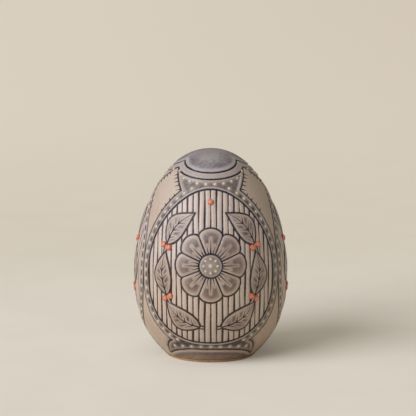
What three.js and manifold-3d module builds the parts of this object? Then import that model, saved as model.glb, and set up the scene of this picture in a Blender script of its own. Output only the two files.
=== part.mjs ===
// A hollow ceramic egg on a flat foot, with three oval medallions in applied relief.
// Millimetres, +Z up. The origin is the middle of the foot, on the surface that the egg stands on.
// Azimuth 0 is the middle of the front medallion and faces -Y, and azimuth 90 faces +X.
// The body is a cast shell. The crown, frames, pearls, reeding and sprays are pressed clay,
// stuck on with slip before firing, so each keeps a slip joint to what carries it.
import * as THREE from 'three';
import { mergeVertices } from 'three/addons/utils/BufferGeometryUtils.js';
import Module from 'manifold-3d';

const wasm = await Module();
wasm.setup();

// Egg, measured over the decoration
const eggHeight = 125;
const bellyRadius = 46.4;
const bellyHeight = 54.9;
const footRadius = 26.2; // where the curve of the sides meets the ground
const crownFullness = 1.68; // higher keeps the upper half wide for longer
const crownRoundness = 2.13; // higher makes the apex blunter
const footFullness = 3.0; // higher keeps the lower half wide for longer

// Shell, base and foot
const reliefDepth = 2.4; // from the outer face of the relief down to the shell
const slipJoint = 0.4; // between any two pieces
const bedding = 0.6; // from the shell to the backs of the pieces on it
const shellWall = 4.0;
const mouthDepth = 4.2;
const baseRecess = 1.0;
const ventRadius = 4.0;
const footRingHeight = 2.0;
const footRingWidth = 5.7; // at the ground
const footChamfer = 0.5;
const mouthRadius = footRadius - footRingWidth;
const shellHem = 0.6; // the shell's lower edge stands this far inside the foot

// Crown, from the apex down, at the middle of a medallion
const capDepth = 10.9;
const capEdgeHeight = eggHeight - capDepth;
const capEdgeRise = 5.5; // higher at the medallion's corners
const ringBand = 3.5;
const ringEdgeHeight = capEdgeHeight - ringBand;
const ringEdgeRise = 5.2;

// Foot band and the bands between the oval and its neighbours above and below
const footGrooveHeight = 9.6;
const footGrooveDrop = 4.9;
const collarHeight = 5.2;
const bracketHeight = 4.6;

// Medallions, as azimuths in degrees and heights in millimetres
const medallionCount = 3;
const ovalTop = ringEdgeHeight - collarHeight;
const ovalBottom = footGrooveHeight + bracketHeight;
const ovalMiddle = (ovalTop + ovalBottom) / 2;
const ovalHalfHeight = (ovalTop - ovalBottom) / 2;
const ovalHalfAngle = 53.4;
const ovalUpperPower = 2.1;
const ovalLowerPower = 2.6;
const frameWidth = 6.4; // inner rim, pearl channel and outer rim together, at the shoulders
const innerRimShare = 0.28;
const outerRimShare = 0.24;

// Collar above the oval and bracket below it
const collarCornerAngle = 57.6;
const collarNeckAngle = 29.5;
const bracketCornerAngle = 50;
const bracketNeckAngle = 33;
const spandrelTip = 1.2; // degrees from the line between two medallions, where a land ends
const spandrelNotch = 0.35; // share of the collar's or bracket's side that the frame covers
const neckMargin = 1.6; // from the neck of a collar or bracket to the ends of the strips

// Levels of the faces above the shell
const rimLevel = 2.3;
const channelLevel = 1.5;
const landLevel = 2.0;
const reedBack = 0.75;
const reedLow = 1.05;
const reedHigh = 1.4;
const sprigEdge = 0.25; // thickness of a sprig at its edge
const sprigCrest = 0.6; // and along its ridge

// Pearls, in slip
const pearlRadius = 1.1;
const pearlRise = 0.9;
const pearlPitch = 5.4;
const collarPearls = 12;
const collarPearlDrop = 2.3; // below the crown ring
const collarPearlHeight = ringEdgeHeight - collarPearlDrop;
const collarPearlRise = 4.7;
const collarPearlAngle = 50;
const bracketPearls = 9;
const bracketPearlLift = 1.7; // above the foot groove
const bracketPearlHeight = footGrooveHeight + bracketPearlLift;
const bracketPearlAngle = 34;
const bracketPearlDrop = 0.9;

// Reeding behind the sprays
const reedCount = 22;

// Rosette and laurel wreath
const rosetteLift = 2.2; // above the middle of the oval
const rosetteHeight = ovalMiddle + rosetteLift;
const rosetteRadius = 22;
const petalCount = 8;
const petalNotch = 0.16; // depth of the notch between two petals, as a share of the radius
const eyeRadius = 7;
const wreathWidth = 31; // from the middle of the oval to the branch, along the surface
const wreathGap = 11; // from the branch to the oval, above and below
const wreathHalfHeight = ovalHalfHeight - wreathGap;
const wreathDrop = 1.3; // below the middle of the oval
const wreathMiddle = ovalMiddle - wreathDrop;
const wreathStart = 8; // degrees from the bottom of the wreath to the foot of a branch
const wreathEnd = 164; // degrees from the bottom to the tip of a branch
const branchWidth = 1.6;
const branchRidge = 0.2; // height of the branch's middle over its edges
const leavesPerBranch = 3;
const leafFoot = 0.06; // share of a leaf's stretch of the branch that lies before its foot
const leafLength = 27;
const leafWidth = 12.6;
const leafTaper = 0.8; // below 1, a leaf is widest nearer its foot
const leafTurn = 22; // degrees from the branch inward at a leaf's foot
const leafBow = 3; // how far a leaf's middle bends outward, so that it follows the branch
const berryRadius = 1.8;
const berryRise = 0.9;
const berryAside = 2.1; // from the branch to the two berries between leaves
const topBerryDrop = 6.9; // below the top of the oval
const topBerryHeight = ovalTop - topBerryDrop;

// Fineness of the curved faces
const latheSteps = 36;
const ventSteps = 24;
const crownSteps = 30;
const frameSteps = 36;
const reedRows = 9;
const leafRows = 6;
const beadSides = 4;

const RAD = Math.PI / 180;
const sectorHalfAngle = 180 / medallionCount;

// The egg's outline over the decoration
function radiusAt(height) {
  if (height >= bellyHeight) {
    const rise = Math.min((height - bellyHeight) / (eggHeight - bellyHeight), 1);
    return bellyRadius * (1 - rise ** crownFullness) ** (1 / crownRoundness);
  }
  const drop = Math.max((bellyHeight - height) / bellyHeight, 0);
  return bellyRadius - (bellyRadius - footRadius) * drop ** footFullness;
}

function slopeAt(height) {
  const step = 0.01;
  return (radiusAt(height + step) - radiusAt(height - step)) / (2 * step);
}

// Outward direction of the outline, as [radial, upward]
function outwardAt(height) {
  if (height > eggHeight - 1e-6) return [0, 1];
  const slope = slopeAt(height);
  const length = Math.hypot(1, slope);
  return [1 / length, -slope / length];
}

// Outline point that lies the given lift above the shell, as [radius, height]
function outlinePoint(height, lift) {
  const [radial, upward] = outwardAt(height);
  const offset = lift - reliefDepth;
  return [Math.max(radiusAt(height) + offset * radial, 0), height + offset * upward];
}

function onEgg(azimuth, height, lift) {
  const [radius, z] = outlinePoint(height, lift);
  return new THREE.Vector3(radius * Math.sin(azimuth * RAD), -radius * Math.cos(azimuth * RAD), z);
}

// Solids
function dropSlivers(geometry) {
  const index = geometry.index.array;
  const kept = [];
  for (let i = 0; i < index.length; i += 3) {
    const [a, b, c] = [index[i], index[i + 1], index[i + 2]];
    if (a !== b && b !== c && c !== a) kept.push(a, b, c);
  }
  geometry.setIndex(kept);
  return geometry;
}

// Six times the volume that the faces enclose, negative where they point inward
function enclosed(positions, index) {
  const corner = (i) => new THREE.Vector3().fromArray(positions, 3 * index[i]);
  let sum = 0;
  for (let i = 0; i < index.length; i += 3) sum += corner(i).dot(corner(i + 1).cross(corner(i + 2)));
  return sum;
}

function toSolid(geometry) {
  geometry.deleteAttribute('normal');
  geometry.deleteAttribute('uv');
  const merged = dropSlivers(mergeVertices(geometry, 1e-4));
  const positions = new Float32Array(merged.attributes.position.array);
  const index = new Uint32Array(merged.index.array);
  if (enclosed(positions, index) < 0) index.reverse();
  return new wasm.Manifold(new wasm.Mesh({ numProp: 3, vertProperties: positions, triVerts: index }));
}

function toGeometry(solid) {
  const mesh = solid.getMesh();
  const geometry = new THREE.BufferGeometry();
  geometry.setAttribute('position', new THREE.BufferAttribute(new Float32Array(mesh.vertProperties), 3));
  geometry.setIndex(new THREE.BufferAttribute(new Uint32Array(mesh.triVerts), 1));
  geometry.computeVertexNormals();
  return geometry;
}

// A solid of revolution from [radius, height] points that run up the outer side last
function turned(points, steps = latheSteps) {
  const profile = points.map(([radius, height]) => new THREE.Vector2(radius, height));
  const geometry = new THREE.LatheGeometry(profile, steps);
  geometry.rotateX(Math.PI / 2);
  return toSolid(geometry);
}

// A closed slab of clay on the egg. spot(u, v) gives [azimuth, height], with u to the right and
// v upward, both from 0 to 1. face(u, v) is the lift of its face, and back the lift of its back.
// A ring closes on itself along u. The back may be coarser than the face by whole columns.
function slab({ columns, rows, spot, face, back = bedding, ring = false, backStep = 1 }) {
  const positions = [];
  const index = [];
  const addPoint = (u, v, lift) => {
    const [azimuth, height] = spot(u, v);
    positions.push(...onEgg(azimuth, height, lift).toArray());
    return positions.length / 3 - 1;
  };
  const grid = (count, liftOf) =>
    Array.from({ length: ring ? count : count + 1 }, (_, i) =>
      Array.from({ length: rows + 1 }, (__, j) => addPoint(i / count, j / rows, liftOf(i / count, j / rows))),
    );
  const front = grid(columns, face);
  const rear = grid(columns / backStep, () => back);
  const quad = (a, b, c, d) => index.push(a, b, c, a, c, d);
  for (let i = 0; i < columns; i += 1) {
    const next = front[(i + 1) % front.length];
    for (let j = 0; j < rows; j += 1) quad(front[i][j], next[j], next[j + 1], front[i][j + 1]);
  }
  for (let k = 0; k < columns / backStep; k += 1) {
    const near = rear[k];
    const far = rear[(k + 1) % rear.length];
    for (let j = 0; j < rows; j += 1) quad(near[j], near[j + 1], far[j + 1], far[j]);
    for (let i = k * backStep; i < (k + 1) * backStep; i += 1) {
      const next = front[(i + 1) % front.length];
      index.push(next[0], front[i][0], near[0]);
      index.push(front[i][rows], next[rows], near[rows]);
    }
    const end = front[((k + 1) * backStep) % front.length];
    index.push(end[0], near[0], far[0]);
    index.push(end[rows], far[rows], near[rows]);
  }
  if (!ring) {
    const [first, last] = [front[0], front[columns]];
    const [backFirst, backLast] = [rear[0], rear[rear.length - 1]];
    for (let j = 0; j < rows; j += 1) {
      quad(last[j + 1], last[j], backLast[j], backLast[j + 1]);
      quad(first[j], first[j + 1], backFirst[j + 1], backFirst[j]);
    }
  }
  const geometry = new THREE.BufferGeometry();
  geometry.setAttribute('position', new THREE.Float32BufferAttribute(positions, 3));
  geometry.setIndex(index);
  return toSolid(geometry);
}

// A dot of slip, drawn up to a point, with its root sunk in what carries it
function bead(azimuth, height, radius, level, rise) {
  const root = 0.4;
  const geometry = new THREE.ConeGeometry((radius * (rise + root)) / rise, rise + root, beadSides);
  geometry.translate(0, (rise - root) / 2, 0);
  const middle = onEgg(azimuth, height, level);
  const outward = onEgg(azimuth, height, level + 1).sub(middle);
  geometry.applyQuaternion(new THREE.Quaternion().setFromUnitVectors(new THREE.Vector3(0, 1, 0), outward));
  geometry.translate(middle.x, middle.y, middle.z);
  return toSolid(geometry);
}

const pearl = (azimuth, height) => bead(azimuth, height, pearlRadius, channelLevel, pearlRise);

function joined(solids) {
  return solids.reduce((whole, solid) => whole.add(solid));
}

// Oval medallion. turn runs from 0 at the right, through 0.25 at the top, to 1.
function ovalSpot(turn) {
  const angle = turn * 2 * Math.PI;
  const power = 2 / (Math.sin(angle) >= 0 ? ovalUpperPower : ovalLowerPower);
  const [c, s] = [Math.cos(angle), Math.sin(angle)];
  return [
    ovalHalfAngle * Math.sign(c) * Math.abs(c) ** power,
    ovalMiddle + ovalHalfHeight * Math.sign(s) * Math.abs(s) ** power,
  ];
}

// Width of the frame round the oval: it narrows where it meets the next medallion's frame
function frameWidthAt(turn) {
  const gap = (sectorHalfAngle - ovalHalfAngle) * RAD * radiusAt(ovalMiddle) - slipJoint / 2;
  return gap + (frameWidth - gap) * Math.sin(turn * 2 * Math.PI) ** 2;
}

// Spot that lies the given distance outside the oval, measured along the surface
function besideOval(turn, distance) {
  const step = 1e-3;
  const [azimuth, height] = ovalSpot(turn);
  const [azimuthA, heightA] = ovalSpot(turn - step);
  const [azimuthB, heightB] = ovalSpot(turn + step);
  const radius = radiusAt(height);
  const stretch = Math.hypot(1, slopeAt(height));
  const across = (azimuthB - azimuthA) * RAD * radius;
  const along = (heightB - heightA) * stretch;
  const length = Math.hypot(across, along);
  const spotAzimuth = azimuth + ((along / length) * distance) / radius / RAD;
  const limit = sectorHalfAngle - slipJoint / 2 / radius / RAD;
  return [
    THREE.MathUtils.clamp(spotAzimuth, -limit, limit),
    height - ((across / length) * distance) / stretch,
  ];
}

// Turn at which the curve beside the oval reaches the given azimuth, on the right, above or below
function turnAtAzimuth(azimuth, distanceAt, upper) {
  let [near, far] = upper ? [0.01, 0.25] : [-0.01, -0.25];
  for (let i = 0; i < 40; i += 1) {
    const middle = (near + far) / 2;
    if (besideOval(middle, distanceAt(middle))[0] > azimuth) near = middle;
    else far = middle;
  }
  return near;
}

function heightBeside(azimuth, distanceAt, upper) {
  const turn = turnAtAzimuth(azimuth, distanceAt, upper);
  return besideOval(turn, distanceAt(turn))[1];
}

const innerRimEdge = (turn) => innerRimShare * frameWidthAt(turn);
const outerRimEdge = (turn) => (1 - outerRimShare) * frameWidthAt(turn);

// Part of the frame between two distances from the oval
function frameStrip({ from, to, inner, outer, steps, face, ring = false }) {
  return slab({
    columns: steps,
    rows: 1,
    ring,
    face: () => face,
    spot: (u, v) => {
      const turn = from + (to - from) * u;
      return besideOval(turn, outer(turn) + (inner(turn) - outer(turn)) * v);
    },
  });
}

const innerRim = () =>
  frameStrip({
    from: 1,
    to: 0,
    inner: () => 0,
    outer: innerRimEdge,
    steps: frameSteps,
    face: rimLevel,
    ring: true,
  });

// Ends of the strips beside the collar and the bracket, on the right
const stripTop = turnAtAzimuth(collarNeckAngle + neckMargin, innerRimEdge, true);
const stripBottom = turnAtAzimuth(bracketNeckAngle + neckMargin, innerRimEdge, false);

function mirroredTurn(turn, side) {
  return side > 0 ? turn : 0.5 - turn;
}

// Channel with its row of pearls: every second column is the middle of a pearl
function pearlStrip(side) {
  const inner = (turn) => innerRimEdge(turn) + slipJoint;
  const outer = (turn) => outerRimEdge(turn) - slipJoint;
  const turnAt = (u) => mirroredTurn(stripTop + (stripBottom - stripTop) * u, side);
  const spotAt = (u, v) => besideOval(turnAt(u), outer(turnAt(u)) + (inner(turnAt(u)) - outer(turnAt(u))) * v);
  const samples = 200;
  const route = Array.from({ length: samples + 1 }, (_, i) => onEgg(...spotAt(i / samples, 0.5), channelLevel));
  const lengths = route.map((point, i) => (i ? point.distanceTo(route[i - 1]) : 0));
  for (let i = 1; i <= samples; i += 1) lengths[i] += lengths[i - 1];
  const shareAt = (along) => {
    const target = along * lengths[samples];
    const i = Math.max(lengths.findIndex((length) => length >= target - 1e-9), 1);
    return (i - (lengths[i] - target) / (lengths[i] - lengths[i - 1])) / samples;
  };
  const count = Math.round(lengths[samples] / pearlPitch);
  return slab({
    columns: 2 * count,
    rows: 2,
    backStep: 2,
    face: (u, v) => channelLevel + (v === 0.5 && Math.round(2 * count * u) % 2 ? pearlRise : 0),
    spot: (u, v) => spotAt(shareAt(u), v),
  });
}

function outerRim(side) {
  return frameStrip({
    from: mirroredTurn(stripTop, side),
    to: mirroredTurn(stripBottom, side),
    inner: outerRimEdge,
    outer: frameWidthAt,
    steps: frameSteps / 2,
    face: rimLevel,
  });
}

// Scalloped edges of the crown: lowest at the middle of each medallion, highest at its corners
function foldAzimuth(azimuth) {
  const sector = 2 * sectorHalfAngle;
  return azimuth - sector * Math.round(azimuth / sector);
}

function scallop(azimuth, low, rise) {
  return low + rise * (foldAzimuth(azimuth) / sectorHalfAngle) ** 2;
}

const capEdge = (azimuth) => scallop(azimuth, capEdgeHeight, capEdgeRise);
const ringEdge = (azimuth) => scallop(azimuth, ringEdgeHeight, ringEdgeRise);

function crownCap() {
  return slab({
    columns: crownSteps,
    rows: 3,
    ring: true,
    face: () => reliefDepth,
    spot: (u, v) => {
      const edge = capEdge(360 * u) + slipJoint / 2;
      return [360 * u, edge + (eggHeight - edge) * Math.sin((v * Math.PI) / 2)];
    },
  });
}

function crownRing() {
  return slab({
    columns: crownSteps,
    rows: 2,
    ring: true,
    face: () => rimLevel,
    spot: (u, v) => {
      const [low, high] = [ringEdge(360 * u) + slipJoint / 2, capEdge(360 * u) - slipJoint / 2];
      return [360 * u, low + (high - low) * v];
    },
  });
}

// Spot on the outer edge of the inner rim, plus a joint, at the given azimuth
function rimSpot(azimuth, upper) {
  const edge = (turn) => innerRimEdge(turn) + slipJoint;
  return [azimuth, heightBeside(Math.abs(azimuth), edge, upper)];
}

function between([azimuthA, heightA], [azimuthB, heightB], v) {
  return [azimuthA + (azimuthB - azimuthA) * v, heightA + (heightB - heightA) * v];
}

function pearlRow(count, halfAngle, height, rise) {
  return Array.from({ length: count }, (_, i) => {
    const along = (2 * (i + 0.5)) / count - 1;
    const azimuth = (along * halfAngle * count) / (count - 1);
    return pearl(azimuth, height + rise * Math.abs(azimuth / halfAngle) ** 2.5);
  });
}

// Side edges of the collar and the bracket at the given azimuth sign, from the rim outward
function collarSide(side, v) {
  const corner = side * collarCornerAngle;
  return between(rimSpot(side * collarNeckAngle, true), [corner, ringEdge(corner) - slipJoint], v);
}

function footGroove(azimuth) {
  return footGrooveHeight - footGrooveDrop * Math.abs(azimuth / bracketCornerAngle) ** 2.6;
}

function bracketSide(side, v) {
  const corner = side * bracketCornerAngle;
  return between(rimSpot(side * bracketNeckAngle, false), [corner, footGroove(corner) + slipJoint / 2], v);
}

function collar() {
  const plate = slab({
    columns: 12,
    rows: 3,
    face: () => channelLevel,
    spot: (u, v) => {
      const side = 2 * u - 1;
      const top = side * collarCornerAngle;
      return between(rimSpot(side * collarNeckAngle, true), [top, ringEdge(top) - slipJoint], v);
    },
  });
  return joined([plate, ...pearlRow(collarPearls, collarPearlAngle, collarPearlHeight, collarPearlRise)]);
}

function bracket() {
  const plate = slab({
    columns: 12,
    rows: 3,
    face: () => channelLevel,
    spot: (u, v) => {
      const side = 2 * u - 1;
      const low = side * bracketCornerAngle;
      return between([low, footGroove(low) + slipJoint / 2], rimSpot(side * bracketNeckAngle, false), v);
    },
  });
  return joined([plate, ...pearlRow(bracketPearls, bracketPearlAngle, bracketPearlHeight, -bracketPearlDrop)]);
}

function footBand() {
  const low = footRingHeight + slipJoint;
  return slab({
    columns: 12,
    rows: 2,
    face: (u, v) => rimLevel - (1 - v) * 0.5,
    spot: (u, v) => {
      const azimuth = (2 * u - 1) * bracketCornerAngle;
      return between([azimuth, low], [azimuth, footGroove(azimuth) - slipJoint / 2], v);
    },
  });
}

// Reeded ground inside the oval
function reededPanel() {
  const columns = 2 * reedCount;
  const edge = () => -slipJoint;
  const [edgeAngle] = besideOval(0.02, edge());
  return slab({
    columns,
    rows: reedRows,
    backStep: 4,
    back: reedBack,
    face: (u) => (Math.round(u * columns) % 2 ? reedHigh : reedLow),
    spot: (u, v) => {
      const azimuth = (2 * u - 1) * edgeAngle;
      const [low, high] = [false, true].map((upper) => heightBeside(Math.abs(azimuth), edge, upper));
      return between([azimuth, low], [azimuth, high], v);
    },
  });
}

// Spot for a point of a spray, x along the surface from the oval's middle line and y its height
function spraySpot(x, y) {
  return [x / radiusAt(y) / RAD, y];
}

const sprayBack = reedHigh + slipJoint;

function rosette() {
  const stepsPerPetal = 4;
  return slab({
    columns: petalCount * stepsPerPetal,
    rows: 2,
    ring: true,
    backStep: stepsPerPetal / 2,
    back: sprayBack,
    face: (u, v) => {
      const atTip = Math.abs(Math.cos(petalCount * Math.PI * u));
      return sprayBack + sprigEdge + (sprigCrest - sprigEdge) * atTip * Math.sin(Math.PI * (0.25 + 0.5 * v));
    },
    spot: (u, v) => {
      const atTip = Math.abs(Math.cos(petalCount * Math.PI * u)) ** 0.5;
      const rim = rosetteRadius * (1 - petalNotch * (1 - atTip));
      const radius = rim + (eyeRadius + slipJoint - rim) * v;
      const angle = -2 * Math.PI * u;
      return spraySpot(radius * Math.sin(-angle), rosetteHeight - radius * Math.cos(angle));
    },
  });
}

function rosetteEye() {
  return slab({
    columns: 12,
    rows: 2,
    ring: true,
    backStep: 2,
    back: sprayBack,
    face: (u, v) => sprayBack + sprigEdge + (sprigCrest - sprigEdge) * v,
    spot: (u, v) => {
      const radius = eyeRadius * (1 - v);
      const angle = 2 * Math.PI * u;
      return spraySpot(radius * Math.sin(angle), rosetteHeight - radius * Math.cos(angle));
    },
  });
}

const berry = (azimuth, height) => bead(azimuth, height, berryRadius, sprayBack + sprigEdge, berryRise);

// Wreath: the branch runs from the bottom of the oval up one side. degrees counts from the bottom.
function branchPoint(degrees, side) {
  const angle = degrees * RAD;
  const height = wreathMiddle - wreathHalfHeight * Math.cos(angle);
  return new THREE.Vector2(side * wreathWidth * Math.sin(angle), height);
}

// A bowed leaf that starts at a point and runs in a direction, with its half width from a function
function blade(start, direction, length, halfWidth, bow) {
  const sideways = new THREE.Vector2(direction.y, -direction.x);
  return slab({
    columns: 2,
    rows: leafRows,
    backStep: 2,
    back: sprayBack,
    face: (u, v) => {
      const ridge = (1 - Math.abs(2 * u - 1)) * Math.sin(Math.PI * v);
      return sprayBack + sprigEdge + (sprigCrest - sprigEdge) * ridge;
    },
    spot: (u, v) => {
      const point = start
        .clone()
        .addScaledVector(direction, length * v)
        .addScaledVector(sideways, (2 * u - 1) * halfWidth(v) + bow * Math.sin(Math.PI * v));
      return spraySpot(point.x, point.y);
    },
  });
}

function laurel(side) {
  const along = (share) => wreathStart + (wreathEnd - wreathStart) * share;
  const heading = (degrees) => branchPoint(degrees + 1, side).sub(branchPoint(degrees - 1, side)).normalize();
  const pieces = [
    slab({
      columns: 2,
      rows: 12,
      backStep: 2,
      back: sprayBack,
      face: (u) => sprayBack + sprigEdge + (u === 0.5 ? branchRidge : 0),
      spot: (u, v) => {
        const direction = heading(along(v));
        const sideways = new THREE.Vector2(direction.y, -direction.x);
        const point = branchPoint(along(v), side).addScaledVector(sideways, ((2 * u - 1) * branchWidth) / 2);
        return spraySpot(point.x, point.y);
      },
    }),
  ];
  const leafShape = (v) => (leafWidth / 2) * Math.sin(Math.PI * v ** leafTaper);
  for (let n = 0; n < leavesPerBranch; n += 1) {
    const degrees = along((n + leafFoot) / leavesPerBranch);
    const direction = heading(degrees).rotateAround(new THREE.Vector2(), side * leafTurn * RAD);
    pieces.push(blade(branchPoint(degrees, side), direction, leafLength, leafShape, side * leafBow));
  }
  for (let n = 1; n < leavesPerBranch; n += 1) {
    const degrees = along((n + leafFoot / 2) / leavesPerBranch);
    const across = heading(degrees).rotateAround(new THREE.Vector2(), Math.PI / 2);
    for (const aside of [-berryAside, berryAside]) {
      const place = branchPoint(degrees, side).addScaledVector(across, aside);
      pieces.push(berry(...spraySpot(place.x, place.y)));
    }
  }
  return joined(pieces);
}

function topBerry() {
  return berry(0, topBerryHeight);
}

// Side of a spandrel along a medallion: along the frame, then along the collar's or bracket's side
function spandrelEdge(v, upper) {
  const edge = (turn) => frameWidthAt(turn) + slipJoint;
  const start = turnAtAzimuth(sectorHalfAngle - spandrelTip, edge, upper);
  const split = 0.7;
  if (v <= split) {
    const turn = start + (((upper ? stripTop : stripBottom) - start) * v) / split;
    return besideOval(turn, edge(turn));
  }
  const along = spandrelNotch + ((1 - spandrelNotch) * (v - split)) / (1 - split);
  const [azimuth, height] = (upper ? collarSide : bracketSide)(1, along);
  return [azimuth + slipJoint / radiusAt(height) / RAD / Math.SQRT1_2, height];
}

// Raised land of the shell between two medallions
function spandrelLand(upper) {
  return slab({
    columns: 3,
    rows: 8,
    back: -shellWall / 2,
    face: () => landLevel,
    spot: (u, v) => {
      const [azimuth, height] = spandrelEdge(upper ? v : 1 - v, upper);
      return [azimuth + 2 * (sectorHalfAngle - azimuth) * u, height];
    },
  });
}

function eggShell() {
  const bottom = footRingHeight + slipJoint;
  const cavityTop = eggHeight - reliefDepth - shellWall;
  const outside = [[footRadius - shellHem, bottom]];
  const outerRows = 15;
  for (let i = 1; i <= outerRows; i += 1) {
    const rise = (1 - Math.cos((Math.PI * i) / outerRows)) / 2;
    outside.push(outlinePoint(bottom + (eggHeight - bottom) * rise, 0));
  }
  const inside = [[0, cavityTop]];
  const innerRows = 9;
  for (let i = 1; i < innerRows; i += 1) {
    const rise = (1 + Math.cos((Math.PI * i) / innerRows)) / 2;
    const low = bottom + mouthDepth + shellWall;
    inside.push(outlinePoint(low + (eggHeight - low) * rise, -shellWall));
  }
  inside.push([mouthRadius, bottom + mouthDepth]);
  inside.push([mouthRadius, bottom]);
  const lands = [];
  for (let n = 0; n < medallionCount; n += 1) {
    for (const upper of [true, false]) {
      lands.push(spandrelLand(upper).rotate([0, 0, 2 * sectorHalfAngle * n]));
    }
  }
  return joined([turned([...inside, ...outside]), ...lands]);
}

function basePlate() {
  const radius = mouthRadius - slipJoint;
  const top = footRingHeight + slipJoint + mouthDepth;
  const profile = [
    [ventRadius, baseRecess],
    [radius, baseRecess],
    [radius, top],
    [ventRadius, top],
    [ventRadius, baseRecess],
  ];
  return turned(profile, ventSteps);
}

function footRing() {
  return turned([
    [mouthRadius, 0],
    [footRadius - footChamfer, 0],
    [radiusAt(footChamfer), footChamfer],
    [radiusAt(footRingHeight), footRingHeight],
    [mouthRadius, footRingHeight],
    [mouthRadius, 0],
  ]);
}

// Finishes
const finish = (name, colour, roughness) =>
  new THREE.MeshStandardMaterial({ name, color: colour, roughness, metalness: 0 });
const stoneGlaze = finish('stone_glaze', 0xb3a58e, 0.5);
const crownGlaze = finish('crown_glaze', 0x77757a, 0.35);
const ringGlaze = finish('ring_glaze', 0xa59c95, 0.4);
const mauveGlaze = finish('mauve_glaze', 0x8b7b70, 0.4);
const channelGlaze = finish('channel_glaze', 0x6b6263, 0.4);
const reedGlaze = finish('reed_glaze', 0xa4978a, 0.45);
const coralGlaze = finish('coral_glaze', 0xcf6a50, 0.35);
const bareClay = finish('bare_clay', 0xb08a5a, 0.85);

const egg = new THREE.Group();

function add(name, solid, material, parent = egg) {
  const mesh = new THREE.Mesh(toGeometry(solid), material);
  mesh.name = name;
  parent.add(mesh);
}

add('egg_shell', eggShell(), stoneGlaze);
add('base_plate', basePlate(), bareClay);
add('foot_ring', footRing(), bareClay);
add('crown_cap', crownCap(), crownGlaze);
add('crown_ring', crownRing(), ringGlaze);

const medallionPieces = [
  ['inner_rim', innerRim(), ringGlaze],
  ['pearl_strip_left', pearlStrip(-1), channelGlaze],
  ['pearl_strip_right', pearlStrip(1), channelGlaze],
  ['outer_rim_left', outerRim(-1), ringGlaze],
  ['outer_rim_right', outerRim(1), ringGlaze],
  ['collar', collar(), channelGlaze],
  ['bracket', bracket(), channelGlaze],
  ['foot_band', footBand(), mauveGlaze],
  ['reeded_panel', reededPanel(), reedGlaze],
  ['rosette', rosette(), mauveGlaze],
  ['rosette_eye', rosetteEye(), mauveGlaze],
  ['laurel_left', laurel(-1), mauveGlaze],
  ['laurel_right', laurel(1), mauveGlaze],
  ['top_berry', topBerry(), coralGlaze],
];
const places = ['front', 'right', 'left'];
for (let n = 0; n < medallionCount; n += 1) {
  const medallion = new THREE.Group();
  medallion.rotation.z = 2 * sectorHalfAngle * RAD * n;
  egg.add(medallion);
  for (const [name, solid, material] of medallionPieces) {
    add(`${name}_${places[n]}`, solid, material, medallion);
  }
}

export default egg;
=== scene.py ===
import math

import bpy
import numpy as np
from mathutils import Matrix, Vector
from mathutils.kdtree import KDTree


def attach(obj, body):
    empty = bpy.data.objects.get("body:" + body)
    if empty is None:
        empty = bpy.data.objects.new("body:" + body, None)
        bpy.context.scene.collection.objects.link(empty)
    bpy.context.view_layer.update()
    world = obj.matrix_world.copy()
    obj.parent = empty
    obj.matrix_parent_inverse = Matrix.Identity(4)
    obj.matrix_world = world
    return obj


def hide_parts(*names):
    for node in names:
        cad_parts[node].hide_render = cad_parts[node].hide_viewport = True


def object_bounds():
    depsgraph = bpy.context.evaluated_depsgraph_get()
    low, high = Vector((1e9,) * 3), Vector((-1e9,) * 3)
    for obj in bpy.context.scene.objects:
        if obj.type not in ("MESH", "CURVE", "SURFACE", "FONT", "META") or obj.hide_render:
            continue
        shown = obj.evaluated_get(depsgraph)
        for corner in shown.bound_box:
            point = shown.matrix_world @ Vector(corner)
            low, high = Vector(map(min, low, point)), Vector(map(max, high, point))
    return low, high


# Glazed ceramic egg with three oval medallions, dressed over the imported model.
# Shapes are worked out in millimetres and degrees and become metres when a mesh is made.
# Azimuth 0 is the middle of the front medallion, at -Y, and azimuth 90 is at +X.
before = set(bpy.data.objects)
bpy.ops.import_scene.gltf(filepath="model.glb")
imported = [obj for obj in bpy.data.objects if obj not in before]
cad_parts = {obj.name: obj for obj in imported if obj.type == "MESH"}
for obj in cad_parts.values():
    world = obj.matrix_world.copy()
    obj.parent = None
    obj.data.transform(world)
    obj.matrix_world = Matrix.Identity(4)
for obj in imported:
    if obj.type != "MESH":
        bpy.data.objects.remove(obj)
cad_low, cad_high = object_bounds()

MM = 0.001

# Egg outline
EGG_HEIGHT = cad_high.z / MM
BELLY_RADIUS = 46.4
BELLY_HEIGHT = 54.9
FOOT_RADIUS = 26.2  # where the curve of the sides meets the ground
CROWN_FULLNESS = 1.68
CROWN_ROUNDNESS = 2.13
FOOT_FULLNESS = 3.0

# Levels of the clay, from the egg outline inward
RIM = -0.15
CHANNEL = -0.6
LAND = -0.3
REED = -0.55
SPRAY = -0.1
SPRAY_EDGE = -0.6
GROOVE_FLOOR = -0.85
UNDER_SPRAY = -1.15
BACK = -1.8
SHELL = -2.4
WALL = 4.0
GROOVE_REACH = 0.8  # from the middle of a groove to its shoulder

# Medallions
SECTOR = 120.0
PLACES = ("front", "right", "left")
CAP_EDGE = (EGG_HEIGHT - 10.9, 5.5)  # height at the middle of a medallion, and rise to its corner
RING_EDGE = (EGG_HEIGHT - 14.4, 5.2)
OVAL_TOP = EGG_HEIGHT - 19.6
OVAL_BOTTOM = 14.2
OVAL_MIDDLE = (OVAL_TOP + OVAL_BOTTOM) / 2
OVAL_HALF_HEIGHT = (OVAL_TOP - OVAL_BOTTOM) / 2
OVAL_HALF_ANGLE = 53.4
OVAL_POWERS = (2.1, 2.6)  # above and below its middle
FRAME_WIDTH = 6.4
INNER_RIM = 0.28  # share of the frame
OUTER_RIM = 0.24
COLLAR_NECK = 33.5  # azimuth where the collar's side leaves the frame
COLLAR_CORNER = 58.4
COLLAR_BULGE = 0.9
BRACKET_NECK = 36.5
BRACKET_CORNER = 51.5
BRACKET_BULGE = 2.2
FOOT_LINE = (9.6, 5.2, 2.6)  # height at the middle, drop to the corner, and its power
LENS_CORNER = 51.0
FOOT_TOP = 2.0
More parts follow.
